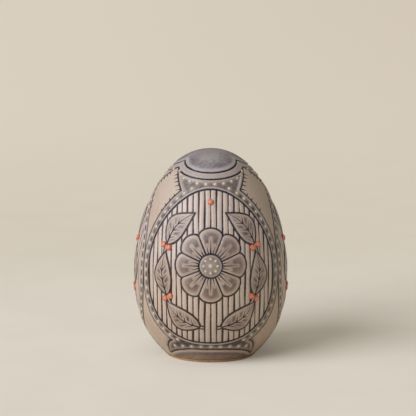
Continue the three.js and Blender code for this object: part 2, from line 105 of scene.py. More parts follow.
GLAZE_LINE = 1.7  # height of the glaze's lower edge on the foot ring
MOUTH_RADIUS = 20.5

# Pearls and reeding
COLLAR_SHADE = 0.68  # of the shade in the other channels
PEARL_RADIUS = 1.12
PEARL_RISE = 0.6
DOT_ROOT = 0.35  # how deep a dot of slip reaches into the clay
PEARL_PITCH = 5.4
PEARL_GAPS = (0.028, 0.012)  # turns of the oval left free below the collar and above the bracket
COLLAR_PEARL_AZIMUTHS = (5.3, 15.9, 26.4, 36.2, 44.0, 51.0)
COLLAR_PEARL_ROW = (2.4, 6.0, 2.5)  # depth below the ring, rise to the outer pearl, and its power
BRACKET_PEARL_ROW = (9.2, 11.35, 0.06)  # step in azimuth, height in the middle, and droop
BRACKET_PEARL_PAIRS = 4
REED_PITCH = 3.55
REED_REACH = 0.65
REED_SWELL = 0.3  # how far the middle of a rib rises over its sides
REED_LINE = 1.3  # width of a reeding line, as a share of a scratch's
OUTLINE = 1.45  # and of the lines round the forms
REED_FLOOR = -1.05
REED_COLUMNS = 384  # of the ground's grid

# Rosette and wreath, as distances along the surface from the middle line and heights
ROSETTE_HEIGHT = OVAL_MIDDLE + 2.2
ROSETTE_RADIUS = 22.0
EYE_RADIUS = 7.0
EYE_DOTS = 4.2  # from the middle of the eye to its ring of dots
PETALS = 8
PETAL = 2 * math.pi / PETALS
PETAL_NOTCH = 0.16
PETAL_SHADE = (0.85, 0.5)  # painted shade beside the eye, and along a petal's middle
WREATH_WIDTH = 31.0
WREATH_HALF_HEIGHT = OVAL_HALF_HEIGHT - 11.0
WREATH_MIDDLE = OVAL_MIDDLE - 1.3
WREATH_SPAN = (8, 164)  # degrees from the bottom
BRANCH_WIDTH = 1.7
BRANCH_TIP = 152  # degrees; the last leaf covers it
LEAVES = 3  # on each branch
LEAF_FOOT = 0.06  # share of a leaf's stretch of the branch that lies before its foot
LEAF_LENGTH = 27.0
LEAF_WIDTH = 12.6
LEAF_TURN = 22  # from the branch inward
LEAF_BOW = 3.0  # how far a leaf's middle bends outward
LEAF_TAPER = 0.8
LEAF_SHADE = (1.0, 0.6)  # painted shade at its foot, and along its middle
BERRY_RADIUS = 1.9
BERRY_RISE = 1.17
BERRY_ASIDE = 2.1  # from the branch to the berries between two leaves
TOP_BERRY_HEIGHT = OVAL_TOP - 6.9

# Strokes on the spandrels, each with its run in azimuth and height
SPIKE_RUN = (8.0, -1.6)
SPIKE_STARTS = (0.06, 0.21, 0.36, 0.51, 0.66)  # along the collar's side
TICK_RUN = (3.4, 1.8)
TICK_STARTS = (0.83, 0.87, 0.91, 0.95)  # along the frame, from the bracket up
HATCH_RUN = (6.0, 2.6)
HATCH_COUNT = 8
HATCH_SPAN = 0.75  # share of the bracket's side

# Base
BASE_BOTTOM = 1.0
BASE_TOP = 6.2
BASE_GAP = 0.4  # from the base plate to the shell's mouth
VENT_RADIUS = 4.0
JOINT = 0.1  # between the foot ring and what stands on it

# Camera and stage
CAMERA_PLACE = (-1.63, -1474.9, 335.35)
CAMERA_PITCH = 9.485
FOCAL_PIXELS = 2490.8
FRAME_PIXELS = 416
SENSOR = 36.0
KEY_PLACE = (-1.81, -1.41, 1.27)
KEY_SIZE = 2.54
KEY_POWER = 60.0
KEY_COLOUR = (0.94, 0.955, 1.0)
TOP_PLACE = (-0.2, 0.1, 2.4)
TOP_SIZE = 2.4
TOP_POWER = 11.0
TOP_COLOUR = (1.0, 0.945, 0.82)
SKY_LIGHT = 0.18
STAGE_GLOW = 0.2  # share of plain colour that the camera sees on the floor beside the egg, a painted glow that lightens the egg's shadow
STAGE_REACH = (0.15, 0.4)  # metres from the egg between which that share grows
STAGE_HALF = 12.0

RAD = math.pi / 180
FAR = 9.0  # a groove further off than this doesn't matter
SPACING = 0.1  # between the points of a drawn line that distances are measured to


def smooth(low, high, value):
    """0 below low, 1 above high, and an S curve between"""
    share = np.clip((value - low) / (high - low), 0, 1)
    return share * share * (3 - 2 * share)


def eased(count, crowding=0.75):
    """count + 1 numbers from 0 to 1, crowded at both ends"""
    t = np.linspace(0, 1, count + 1)
    return t - crowding * np.sin(2 * np.pi * t) / (2 * np.pi)


# The egg's surface
def radius_at(height):
    rise = np.clip((height - BELLY_HEIGHT) / (EGG_HEIGHT - BELLY_HEIGHT), 0, 1)
    drop = np.clip((BELLY_HEIGHT - height) / BELLY_HEIGHT, 0, None)
    upper = BELLY_RADIUS * (1 - rise**CROWN_FULLNESS) ** (1 / CROWN_ROUNDNESS)
    lower = BELLY_RADIUS - (BELLY_RADIUS - FOOT_RADIUS) * drop**FOOT_FULLNESS
    return np.where(height >= BELLY_HEIGHT, upper, lower)


def slope_at(height):
    step = 0.01
    height = np.minimum(height, EGG_HEIGHT - 2 * step)
    return (radius_at(height + step) - radius_at(height - step)) / (2 * step)


def on_egg(azimuth, height, lift):
    """Points in mm on the egg, lifted along its outward direction"""
    slope = slope_at(height)
    length = np.hypot(1, slope)
    flat = height >= EGG_HEIGHT - 1e-6
    radial = np.where(flat, 0, 1 / length)
    upward = np.where(flat, 1, -slope / length)
    radius = np.maximum(radius_at(height) + lift * radial, 0)
    angle = azimuth * RAD
    return np.stack([radius * np.sin(angle), -radius * np.cos(angle), height + lift * upward], -1)


def spray_spot(x, height):
    """Azimuth and height of a point that lies x mm along the surface from the middle line"""
    return x / radius_at(height) / RAD, height


def lengths_along(points):
    """Length in mm from the first of a row of points to each of them"""
    return np.concatenate([[0], np.cumsum(np.linalg.norm(np.diff(points, axis=0), axis=1))])


def once_round(count, whole=2 * np.pi):
    """A column of angles that goes once round"""
    return np.linspace(0, whole, count, endpoint=False)[:, None]


def along(line, lengths, at):
    """Points of a line at some lengths from its start"""
    return np.stack([np.interp(at, lengths, line[:, k]) for k in range(line.shape[1])], -1)


def curved(start, middle, end, count):
    """Points of a curve from start to end that bends towards middle"""
    t = np.linspace(0, 1, count)[:, None]
    return (1 - t) ** 2 * start + 2 * t * (1 - t) * middle + t**2 * end


def turned_round(points, azimuth):
    """Points turned about the egg's axis"""
    c, s = math.cos(azimuth * RAD), math.sin(azimuth * RAD)
    return points @ np.array([[c, s, 0], [-s, c, 0], [0, 0, 1]])


# Curves round the medallion
def oval(turn):
    angle = turn * 2 * np.pi
    power = 2 / np.where(np.sin(angle) >= 0, *OVAL_POWERS)
    c, s = np.cos(angle), np.sin(angle)
    azimuth = OVAL_HALF_ANGLE * np.sign(c) * np.abs(c) ** power
    return azimuth, OVAL_MIDDLE + OVAL_HALF_HEIGHT * np.sign(s) * np.abs(s) ** power


def frame_width(turn):
    gap = (SECTOR / 2 - OVAL_HALF_ANGLE) * RAD * radius_at(OVAL_MIDDLE)
    return gap + (FRAME_WIDTH - gap) * np.sin(turn * 2 * np.pi) ** 2


def beside_oval(turn, distance):
    """Azimuth and height at a distance outside the oval, measured along the surface"""
    step = 1e-3
    azimuth, height = oval(turn)
    azimuth_a, height_a = oval(turn - step)
    azimuth_b, height_b = oval(turn + step)
    radius = radius_at(height)
    stretch = np.hypot(1, slope_at(height))
    across = (azimuth_b - azimuth_a) * RAD * radius
    upward = (height_b - height_a) * stretch
    length = np.hypot(across, upward)
    azimuth = azimuth + upward / length * distance / radius / RAD
    return np.clip(azimuth, -SECTOR / 2, SECTOR / 2), height - across / length * distance / stretch


def outer_edge(turn):
    return beside_oval(turn, frame_width(turn))


def rim_edge(turn):
    return beside_oval(turn, INNER_RIM * frame_width(turn))


def turn_where(azimuth, curve, upper):
    """Turn at which a curve beside the oval reaches an azimuth on the right"""
    near, far = (0.01, 0.25) if upper else (-0.01, -0.25)
    for _ in range(40):
        middle = (near + far) / 2
        if curve(middle)[0] > azimuth:
            near = middle
        else:
            far = middle
    return near


def even_turns(start, end, count):
    """count + 1 turns from start to end, evenly spaced along the oval"""
    dense = np.linspace(start, end, 4000)
    lengths = lengths_along(on_egg(*oval(dense), 0))
    return np.interp(np.linspace(0, lengths[-1], count + 1), lengths, dense)


def scallop(azimuth, edge):
    folded = azimuth - SECTOR * np.round(azimuth / SECTOR)
    return edge[0] + edge[1] * (folded / (SECTOR / 2)) ** 2


def foot_line(azimuth):
    height, drop, power = FOOT_LINE
    return height - drop * np.abs(azimuth / LENS_CORNER) ** power


def bowed(start, end, bulge):
    """Polyline of azimuths and heights from start to end, bowed upward or outward by bulge"""
    start, end = np.array(start, float), np.array(end, float)
    return curved(start, (start + end) / 2 + np.array([0.0, 2 * bulge]), end, 61)


COLLAR_TURN = turn_where(COLLAR_NECK, outer_edge, True)
BRACKET_TURN = turn_where(BRACKET_NECK, outer_edge, False)
COLLAR_END = (COLLAR_CORNER, scallop(COLLAR_CORNER, RING_EDGE))
COLLAR_SIDE = bowed(outer_edge(COLLAR_TURN), COLLAR_END, COLLAR_BULGE)
BRACKET_END = (BRACKET_CORNER, foot_line(BRACKET_CORNER))
BRACKET_SIDE = bowed(outer_edge(BRACKET_TURN), BRACKET_END, BRACKET_BULGE)


def mirrored(line):
    return line * np.array([-1, 1])


def both_sides(line):
    return [line, mirrored(line)]


def across_spandrel(lines):
    """Lines on the left of a spandrel, and the same on its right"""
    return lines + [mirrored(line) + np.array([SECTOR, 0]) for line in lines]


def all_round(line):
    """A line of one medallion, once for each of them"""
    return [line + np.array([SECTOR * k, 0]) for k in range(len(PLACES))]


def curve_line(curve, values):
    return np.stack(np.broadcast_arrays(*curve(values)), -1)


FRAME_LINE = curve_line(outer_edge, even_turns(BRACKET_TURN, COLLAR_TURN, 400))
OVAL_LINE = curve_line(oval, even_turns(0, 1, 800))
RING_LINE = curve_line(lambda a: (a, scallop(a, RING_EDGE)), np.linspace(-60, 60, 241))
CAP_LINE = curve_line(lambda a: (a, scallop(a, CAP_EDGE)), np.linspace(-60, 60, 241))
FOOT_GROOVE = curve_line(lambda a: (a, foot_line(a)), np.linspace(-BRACKET_CORNER, BRACKET_CORNER, 161))
BORDER_LINES = [FRAME_LINE, *both_sides(COLLAR_SIDE), *both_sides(BRACKET_SIDE)]


# Distances to drawn lines
def samples(line):
    """Points in mm along a polyline of azimuths and heights, with each one's share of the way"""
    points = on_egg(*line.T, 0)
    lengths = lengths_along(points)
    at = np.linspace(0, lengths[-1], max(int(lengths[-1] / SPACING), 1) + 1)
    return along(points, lengths, at), at / lengths[-1]


class Face:
    """A grid of spots on the egg. lift is its clay's level, groove the distance in mm to the nearest
    carved line, and depth how deep in shade and glaze a spot lies, from 0 to 1."""

    def __init__(self, azimuth, height, lift):
        self.azimuth, self.height = (np.array(a) for a in np.broadcast_arrays(azimuth, height))
        self.lift = np.full(self.azimuth.shape, float(lift))
        self.groove = np.full(self.azimuth.shape, FAR)
        self.depth = np.zeros(self.azimuth.shape)

    @property
    def points(self):
        return on_egg(self.azimuth, self.height, 0)

    def away(self, lines, thin=(0, 0)):
        """Distance in mm from each spot to the nearest line. A thin line counts as further off, by the
        first number at its start and the second at its end."""
        spots, shares = (np.concatenate(part) for part in zip(*(samples(line) for line in lines)))
        extra = thin[0] + (thin[1] - thin[0]) * shares
        tree = KDTree(len(spots))
        for i, spot in enumerate(spots):
            tree.insert(spot, i)
        tree.balance()
        _, nearest, distance = zip(*(tree.find(point) for point in self.points.reshape(-1, 3)))
        return (np.array(distance) + extra[list(nearest)]).reshape(self.lift.shape)

    def carve(self, distance, reach=GROOVE_REACH, floor=GROOVE_FLOOR, width=OUTLINE):
        """Lowers the face to a groove's floor where the distance is 0"""
        self.lift = floor + (self.lift - floor) * smooth(0, reach, distance)
        self.groove = np.minimum(self.groove, distance / width)

    def scratch(self, lines, thin, depth=0.35, reach=0.5):
        """Thin lines that are cut less deep than a groove"""
        distance = self.away(lines, thin)
        self.lift -= depth * (1 - smooth(0, reach, distance))
        self.groove = np.minimum(self.groove, distance)

    def rear(self, step, back):
        """The coarser grid behind this one"""
        behind = Face(*(a[:: step[0], :: step[1]] for a in (self.azimuth, self.height)), back)
        behind.groove[:] = 0
        behind.depth[:] = 1
        return behind


class Shape:
    """A closed body: points in mm, faces, and what its surface does at each point"""

    def __init__(self, points, faces, groove, depth, finish):
        self.points, self.faces, self.groove, self.depth = points, faces, groove, depth
        self.finishes = [finish] * len(faces)
        if self.enclosed() < 0:
            self.faces = [face[::-1] for face in faces]

    def enclosed(self):
        total = 0.0
        for size in (3, 4):
            corners = np.array([face for face in self.faces if len(face) == size])
            for k in range(1, size - 1) if len(corners) else []:
                a, b, c = (self.points[corners[:, i]] for i in (0, k, k + 1))
                total += np.einsum("ij,ij->", a, np.cross(b, c))
        return total


def joined(shapes):
    """One shape made of several"""
    starts = np.cumsum([0] + [len(shape.points) for shape in shapes])
    whole = shapes[0]
    whole.faces = [[i + start for i in face] for shape, start in zip(shapes, starts) for face in shape.faces]
    whole.finishes = [finish for shape in shapes for finish in shape.finishes]
    for key in ("points", "groove", "depth"):
        setattr(whole, key, np.concatenate([getattr(shape, key) for shape in shapes]))
    return whole


def quads_between(ids):
    """The four corners of each cell in a grid of points"""
    return np.stack([ids[:-1, :-1], ids[1:, :-1], ids[1:, 1:], ids[:-1, 1:]], -1).reshape(-1, 4)


def slab(front, finish, step, wrap=False, pole=False, back=BACK):
    """Closed body under a face. Its back is coarser by whole steps, a wrapped one closes on itself
    along the first way, and one with a pole comes to a point at the end of the second way."""
    both = (front, front.rear(step, back))
    grids, start = [], 0
    for columns, depth in (face.lift.shape for face in both):
        ids = np.arange(columns * depth).reshape(columns, depth) + start
        if pole:
            ids[:, -1] = ids[0, -1]
        grids.append(ids)
        start += columns * depth
    points = np.concatenate([on_egg(f.azimuth, f.height, f.lift).reshape(-1, 3) for f in both])
    faces = []
    for ids, order in zip(grids, (1, -1)):
        if wrap:
            ids = np.concatenate([ids, ids[:1]])
        faces += [list(dict.fromkeys(quad)) for quad in quads_between(ids)[:, ::order].tolist()]
    for fine, coarse in zip(*(borders(ids, wrap, pole) for ids in grids)):
        ratio = (len(fine) - 1) // (len(coarse) - 1)
        for k in range(len(coarse) - 1):
            for i in range(k * ratio, (k + 1) * ratio):
                faces.append([fine[i + 1], fine[i], coarse[k]])
            faces.append([fine[(k + 1) * ratio], coarse[k], coarse[k + 1]])
    used = np.unique([i for face in faces for i in face])
    renamed = np.zeros(len(points), int)
    renamed[used] = np.arange(len(used))
    groove, depth = (np.concatenate([getattr(f, key).ravel() for f in both]) for key in ("groove", "depth"))
    faces = [renamed[face].tolist() for face in faces]
    return Shape(points[used], faces, groove[used], depth[used], finish)


def borders(ids, wrap, pole):
    """The border of a grid of points, as one or more runs that keep the grid on their left"""
    if not wrap:
        return [ids[:, 0], ids[-1, :], ids[::-1, -1], ids[0, ::-1]]
    ids = np.concatenate([ids, ids[:1]])
    return [ids[:, 0]] if pole else [ids[:, 0], ids[::-1, -1]]


def turned(profile, finish, steps):
    """Solid of revolution from a closed loop of [radius, height] points"""
    loop = np.array(profile, float)
    angle = once_round(steps)
    radius, height = loop.T
    points = np.stack([np.sin(angle) * radius, -np.cos(angle) * radius, np.tile(height, (steps, 1))], -1)
    count = steps * len(loop)
    ids = np.arange(count).reshape(steps, len(loop))
    faces = quads_between(np.pad(ids, ((0, 1), (0, 1)), "wrap")).tolist()
    return Shape(points.reshape(-1, 3), faces, np.full(count, FAR), np.zeros(count), finish)


def rounded_loop(corners, radii):
    """Closed outline whose corners are rounded by radii"""
    corners = np.array(corners, float)
    loop = []
    for i, radius in enumerate(radii):
        corner, beside = corners[i], (corners[i - 1], corners[(i + 1) % len(corners)])
        start, end = (corner + (p - corner) / np.linalg.norm(p - corner) * radius for p in beside)
        loop += curved(start, corner, end, 6).tolist()
    return loop


def dome(azimuth, height, level, radius, rise, finish, sides=16, rings=6):
    """A dot of slip that swells out of the clay round it"""
    angle = once_round(sides)
    polar = np.linspace(1, 0, rings + 1)[None, :] * np.pi / 2
    stretch = np.hypot(1, slope_at(height))
    across = radius * np.sin(polar) * np.cos(angle) / radius_at(height) / RAD
    upward = radius * np.sin(polar) * np.sin(angle) / stretch
    face = Face(azimuth + across, height + upward, 0)
    face.lift[:] = level + rise * np.cos(polar)
    face.groove[:] = radius * (1 - np.sin(polar))
    # Painted shade: the colour deepens from the top of the dot towards its foot
    face.depth[:] = np.sin(polar) ** 2
    return slab(face, finish, (1, rings), wrap=True, pole=True, back=level - DOT_ROOT)


def pearl(azimuth, height, seed):
    size = 1 + 0.09 * math.sin(12.9898 * seed + 1.7)
    return dome(azimuth, height, CHANNEL - 0.05, PEARL_RADIUS * size, PEARL_RISE * size, "pearl_slip")


def pearls(places, seed):
    return [pearl(*place, seed + i) for i, place in enumerate(places)]


# Pearls of a medallion
def side_pearls():
    """Azimuths and heights of the right row of pearls, from the collar down to the bracket"""
    middle = (INNER_RIM + 1 - OUTER_RIM) / 2
    turns = np.linspace(COLLAR_TURN + PEARL_GAPS[0], BRACKET_TURN - PEARL_GAPS[1], 2000)
    line = np.stack(beside_oval(turns, middle * frame_width(turns)), -1)
    lengths = lengths_along(on_egg(*line.T, 0))
    return along(line, lengths, np.linspace(0, lengths[-1], round(lengths[-1] / PEARL_PITCH) + 1))


def collar_pearls():
    below, rise, power = COLLAR_PEARL_ROW
    share = np.array(COLLAR_PEARL_AZIMUTHS) / COLLAR_PEARL_AZIMUTHS[-1]
    heights = RING_EDGE[0] - below + rise * share**power
    return [(side * a, h) for a, h in zip(COLLAR_PEARL_AZIMUTHS, heights) for side in (-1, 1)]


def bracket_pearls():
    step, height, droop = BRACKET_PEARL_ROW
    return [(step * k, height - droop * k**2) for k in range(-BRACKET_PEARL_PAIRS, BRACKET_PEARL_PAIRS + 1)]


COLLAR_PEARLS = collar_pearls()
BRACKET_PEARLS = bracket_pearls()
SIDE_PEARLS = side_pearls()
ALL_PEARLS = np.concatenate([COLLAR_PEARLS, BRACKET_PEARLS, *both_sides(SIDE_PEARLS)])


def channel_shade(points):
    """Dark glaze lies between the pearls and thins out round them"""
    middles = on_egg(*ALL_PEARLS.T, 0)
    distance = np.min([np.linalg.norm(points - middle, axis=-1) for middle in middles], axis=0)
    return 0.3 + 0.7 * smooth(1.2, 2.4, distance)


# Pieces of a medallion
def inner_rim():
    turns = even_turns(0, 1, 440)[:-1, None]
    width = INNER_RIM * frame_width(turns)
    across = eased(14)[None, :] * width
    face = Face(*beside_oval(turns, across), RIM)
    outward = width - across
    face.lift = CHANNEL + (RIM - CHANNEL) * smooth(-0.15, 0.75, outward)
    face.depth = 0.75 * (1 - smooth(0, 0.6, outward))
    face.carve(across)
    return slab(face, "ring_glaze", (4, 7), wrap=True)


def lip(face, lines, crest=1.0, foot=1.9, fade=(0.9, 2.1)):
    """Raised pale lip along the outer lines, which falls to the channel"""
    distance = face.away(lines)
    face.lift = CHANNEL + (RIM - CHANNEL) * (1 - smooth(crest, foot, distance))
    face.depth = channel_shade(face.points) * smooth(*fade, distance)
    face.carve(distance)


def band(side, first, last, crowding, finish):
    """Band between two shares of the frame's width, from the collar down to the bracket"""
    turns = even_turns(COLLAR_TURN, BRACKET_TURN, 240)[:, None]
    share = first + (last - first) * eased(14, crowding)[None, :]
    face = Face(*beside_oval(turns, share * frame_width(turns)), CHANNEL)
    lip(face, BORDER_LINES)
    face.azimuth *= side
    return slab(face, finish, (4, 7))


def pearl_strip(side):
    channel = band(side, INNER_RIM, 1 - OUTER_RIM, 0, "channel_glaze")
    return joined([channel, *pearls(SIDE_PEARLS * np.array([side, 1]), 40 * side)])


def outer_rim(side):
    return band(side, 1 - OUTER_RIM, 1, 0.75, "ring_glaze")


def saddle(side_line, far_curve, neck_turn, columns, rows):
    """Channel between the inner rim, two bowed sides and a curve above or below"""
    u, v = eased(columns, 0.5), eased(rows, 0.6)
    first, last = 0.5 - neck_turn, neck_turn if neck_turn > 0 else 1 + neck_turn
    near = curve_line(rim_edge, first + (last - first) * u)[:, None]
    azimuth = side_line[-1, 0] * (2 * u - 1)
    far = np.stack([azimuth, far_curve(azimuth)], -1)[:, None]
    route = np.concatenate([[rim_edge(neck_turn)], side_line])
    lengths = lengths_along(on_egg(*route.T, 0))
    right = along(route, lengths, v * lengths[-1])
    u, v = u[:, None, None], v[:, None]
    between = (1 - v) * near + v * far
    patch = between + (1 - u) * (mirrored(right) - between[0]) + u * (right - between[-1])
    return Face(patch[..., 0], patch[..., 1], CHANNEL)


def collar():
    face = saddle(COLLAR_SIDE, lambda a: scallop(a, RING_EDGE), COLLAR_TURN, 160, 56)
    lines = [RING_LINE, *both_sides(COLLAR_SIDE), *both_sides(FRAME_LINE)]
    lip(face, lines, 1.2, 2.6, (1.3, 3.4))
    face.depth *= COLLAR_SHADE
    return joined([slab(face, "channel_glaze", (4, 7)), *pearls(COLLAR_PEARLS, 0)])


def bracket():
    face = saddle(BRACKET_SIDE, foot_line, BRACKET_TURN, 160, 42)
    lip(face, both_sides(BRACKET_SIDE) + both_sides(FRAME_LINE), 1.0, 2.2, (1.0, 2.6))
    face.carve(face.away([FOOT_GROOVE]), 0.6)
    return joined([slab(face, "channel_glaze", (4, 7)), *pearls(BRACKET_PEARLS, 20)])


def foot_band():
    azimuth = (2 * eased(120, 0.6)[:, None] - 1) * LENS_CORNER
    low = FOOT_TOP + JOINT
    share = eased(28, 0.6)[None, :]
    face = Face(azimuth, low + (foot_line(azimuth) - low) * share, RIM)
    down = face.away([FOOT_GROOVE])
    face.lift -= 0.35 * smooth(1.6, 3.6, down) * smooth(0, 1.5, face.height - low)
    # Painted shade: darker in the middle of the band, where it curves in below the groove, and lighter again
    # towards its foot
    face.depth = 0.55 * smooth(1.5, 3.6, down) * (1 - 0.5 * smooth(4.5, 7.0, down))
    face.carve(down)
    return slab(face, "mauve_glaze", (4, 7))


# Reeded ground inside the oval, with the sprays' outlines carved into it
def oval_reach(heights):
    """Distance along the surface from the oval's middle line to its edge"""
    share = (heights - OVAL_MIDDLE) / OVAL_HALF_HEIGHT
    power = np.where(share >= 0, *OVAL_POWERS)
    inside = np.clip(1 - np.abs(share) ** power, 0, 1)
    return OVAL_HALF_ANGLE * inside ** (1 / power) * RAD * radius_at(heights)


def reed_grid():
    """Places inside the oval, in columns that run from its lower to its upper edge"""
    heights = np.linspace(OVAL_BOTTOM, OVAL_TOP, 4001)
    reach = oval_reach(heights)
    widest = reach.max() - 0.05
    columns = np.linspace(-widest, widest, REED_COLUMNS + 1)
    inside = [heights[reach > abs(x)] for x in columns]
    low, high = (np.array([column[end] for column in inside])[:, None] for end in (0, -1))
    return np.broadcast_arrays(columns[:, None], low + (high - low) * eased(216, 0.35)[None, :])


def reeded_panel():
    x, height = reed_grid()
    face = Face(*spray_spot(x, height), REED)
    rib = np.round(x / REED_PITCH - 0.5)
    wobble = 0.16 * np.sin(height / 9 + 2.4 * rib) + 0.1 * np.sin(height / 4.3 + 1.3 * rib)
    from_line = np.abs(x - (np.round(x / REED_PITCH) * REED_PITCH) - wobble)
    face.lift -= REED_SWELL * (1 - from_line / (REED_PITCH / 2)) ** 2
    face.carve(from_line, REED_REACH, REED_FLOOR, REED_LINE)
    edge = face.away([OVAL_LINE])
    face.carve(edge)
    drawn = face.away(spray_outlines())
    face.carve(drawn, 0.9)
    face.lift[spray_covers(x, height) & (drawn > 0.35)] = UNDER_SPRAY
    face.depth = 0.3 * (1 - smooth(0, 4.5, edge)) + 0.3 * (1 - smooth(0.5, 3.0, drawn))
    face.depth += 0.25 * (1 - smooth(18, 45, height))
    return slab(face, "reed_glaze", (8, 8))


# Rosette
def petal_rim(angle):
    at_tip = np.abs(np.cos(PETALS * angle / 2)) ** 0.5
    return ROSETTE_RADIUS * (1 - PETAL_NOTCH * (1 - at_tip))


def rosette_spot(radius, angle):
    return spray_spot(radius * np.sin(angle), ROSETTE_HEIGHT - radius * np.cos(angle))


def rosette_line():
    angle = np.linspace(0, 2 * np.pi, 721)
    return np.stack(rosette_spot(petal_rim(angle), angle), -1)


def rays(angle, end, bend=0.0):
    """Lines of the rosette from its eye to a radius, one on each petal"""
    radius = np.linspace(EYE_RADIUS, end, 30)
    angle = angle + bend * np.sin(np.linspace(0, np.pi, 30))
    return [np.stack(rosette_spot(radius, angle + PETAL * k), -1) for k in range(PETALS)]


def rosette():
    angle = once_round(PETALS * 64)
    share = eased(70, 0.5)[None, :]
    rim = petal_rim(angle)
    radius = rim + (EYE_RADIUS - rim) * share
    face = Face(*rosette_spot(radius, angle), SPRAY)
    off_centre = np.abs((angle + PETAL / 2) % PETAL - PETAL / 2) / (PETAL / 2)
    outward = (radius - EYE_RADIUS) / (rim - EYE_RADIUS)
    swell = np.sqrt(1 - off_centre**2) * np.sin(np.pi * outward) ** 0.6
    face.lift = SPRAY_EDGE + (SPRAY - SPRAY_EDGE) * swell
    # Painted shade: darkest beside the eye and along the middle of each petal
    face.depth = PETAL_SHADE[0] * (1 - outward) + PETAL_SHADE[1] * (1 - off_centre) * np.sin(np.pi * outward)
    face.carve(face.away([rosette_line()]))
    face.carve(radius - EYE_RADIUS)
    face.carve(face.away(rays(PETAL / 2, ROSETTE_RADIUS)), 0.7, width=1.1)
    beside = [line for side in (-1, 1) for line in rays(side * 0.17, 0.56 * ROSETTE_RADIUS, side * 0.03)]
    face.scratch(rays(0.0, 0.74 * ROSETTE_RADIUS), (0.0, 0.4))
    face.scratch(beside, (0.05, 0.4), 0.2)
    return slab(face, "mauve_glaze", (4, 14), wrap=True)


def rosette_eye():
    height, rise = ROSETTE_HEIGHT, 0.5
    shapes = [dome(0.0, height, GROOVE_FLOOR, EYE_RADIUS, rise, "ring_glaze", 96, 24)]
    for k in range(PETALS):
        x, up = EYE_DOTS * math.sin(PETAL * k), EYE_DOTS * math.cos(PETAL * k)
        level = GROOVE_FLOOR + rise * math.sqrt(1 - (EYE_DOTS / EYE_RADIUS) ** 2) - 0.08
        shapes.append(dome(*spray_spot(x, height + up), level, 0.95, 0.5, "pearl_slip", 14, 5))
    shapes.append(dome(0.0, height, GROOVE_FLOOR + rise - 0.1, 1.5, 0.55, "pearl_slip", 18, 6))
    return joined(shapes)


# Laurel wreath
def branch_point(degrees, side):
    x = side * WREATH_WIDTH * np.sin(degrees * RAD)
    return np.stack([x, WREATH_MIDDLE - WREATH_HALF_HEIGHT * np.cos(degrees * RAD)], -1)


def heading(degrees, side):
    step = branch_point(degrees + 1, side) - branch_point(degrees - 1, side)
    return step / np.linalg.norm(step, axis=-1, keepdims=True)


def turned_by(direction, angle):
    c, s = math.cos(angle), math.sin(angle)
    return np.array([[c, -s], [s, c]]) @ direction


class Leaf:
    """A bowed leaf that starts at a point of its branch and runs in a direction"""

    def __init__(self, start, direction, bend):
        self.start, self.direction = start, direction
        self.sideways = np.array([direction[1], -direction[0]])
        self.bend = bend

    def half_width(self, v):
        return np.maximum(LEAF_WIDTH / 2 * np.sin(np.pi * v**LEAF_TAPER), 0.04)

    def spot(self, u, v):
        """Place in the spray's plane, with u from -1 to 1 across and v from 0 to 1 along"""
        offset = self.half_width(v) * u + self.bend * np.sin(np.pi * v)
        way = LEAF_LENGTH * v
        return [s + d * way + a * offset for s, d, a in zip(self.start, self.direction, self.sideways)]

    def line(self, u, v):
        return np.stack(spray_spot(*self.spot(u, v)), -1)

    def outline(self):
        v = np.linspace(0, 1, 60)
        return np.concatenate([self.line(1.0, v), self.line(-1.0, v[::-1])])

    def covers(self, x, height):
        offset = np.stack([x, height], -1) - self.start
        v, across = offset @ self.direction / LEAF_LENGTH, offset @ self.sideways
        inside = np.clip(v, 0, 1)
        off_middle = np.abs(across - self.bend * np.sin(np.pi * inside))
        return (v > 0) & (v < 1) & (off_middle < self.half_width(inside))

    def veins(self):
        starts = (0.14, 0.34, 0.54)
        t = np.linspace(0, 1, 20)
        return [self.line(side * 0.7 * t, start + 0.17 * t**0.8) for start in starts for side in (-1, 1)]

    def shape(self):
        v = (0.004 + 0.992 * eased(160, 0.5))[None, :]
        u = (2 * eased(76, 0.5) - 1)[:, None]
        face = Face(*spray_spot(*self.spot(u, v)), SPRAY)
        swell = np.sqrt(np.maximum(1 - u**2, 0)) * np.sin(np.pi * v) ** 0.5
        face.lift = SPRAY_EDGE + (SPRAY - SPRAY_EDGE) * swell
        # Painted shade: darkest at the leaf's foot and along its middle
        face.depth = LEAF_SHADE[0] * (1 - v) ** 1.2 + LEAF_SHADE[1] * (1 - np.abs(u))
        face.carve(face.away([self.outline()]))
        t = np.linspace(0, 0.93, 50)
        face.scratch([self.line(0 * t, t)], (0.0, 0.3), 0.4)
        face.scratch(self.veins(), (0.05, 0.42), 0.22)
        return slab(face, "mauve_glaze", (2, 2))


def along_branch(share):
    return WREATH_SPAN[0] + (WREATH_SPAN[1] - WREATH_SPAN[0]) * share


def leaves(side):
    made = []
    for n in range(LEAVES):
        degrees = along_branch((n + LEAF_FOOT) / LEAVES)
        direction = turned_by(heading(degrees, side), side * LEAF_TURN * RAD)
        made.append(Leaf(branch_point(degrees, side), direction, side * LEAF_BOW))
    return made


def branch_grid(side, across, count):
    """Places in the spray's plane on a branch: some across it, and count along it"""
    degrees = np.linspace(WREATH_SPAN[0], BRANCH_TIP, count)
    forward = heading(degrees, side)
    sideways = np.stack([forward[:, 1], -forward[:, 0]])
    middle = branch_point(degrees, side).T
    return [middle[k] + np.outer(across, sideways[k]) for k in range(2)]


def branch_lines(side):
    edges = np.array([-1, 1]) * BRANCH_WIDTH / 2
    return [np.stack(line, -1) for line in zip(*spray_spot(*branch_grid(side, edges, 120)))]


def branch(side):
    across = (2 * eased(12, 0.5) - 1) * BRANCH_WIDTH / 2
    x, height = branch_grid(side, across, 201)
    face = Face(*spray_spot(x, height), (SPRAY + SPRAY_EDGE) / 2)
    from_middle = np.abs(across)[:, None] + np.zeros(x.shape)
    face.depth = 0.25 * (1 - smooth(0, 0.5, from_middle))
    face.carve(BRANCH_WIDTH / 2 - from_middle, 0.7, width=1.0)
    face.lift[spray_covers(x, height)] = UNDER_SPRAY
    return slab(face, "mauve_glaze", (1, 1))


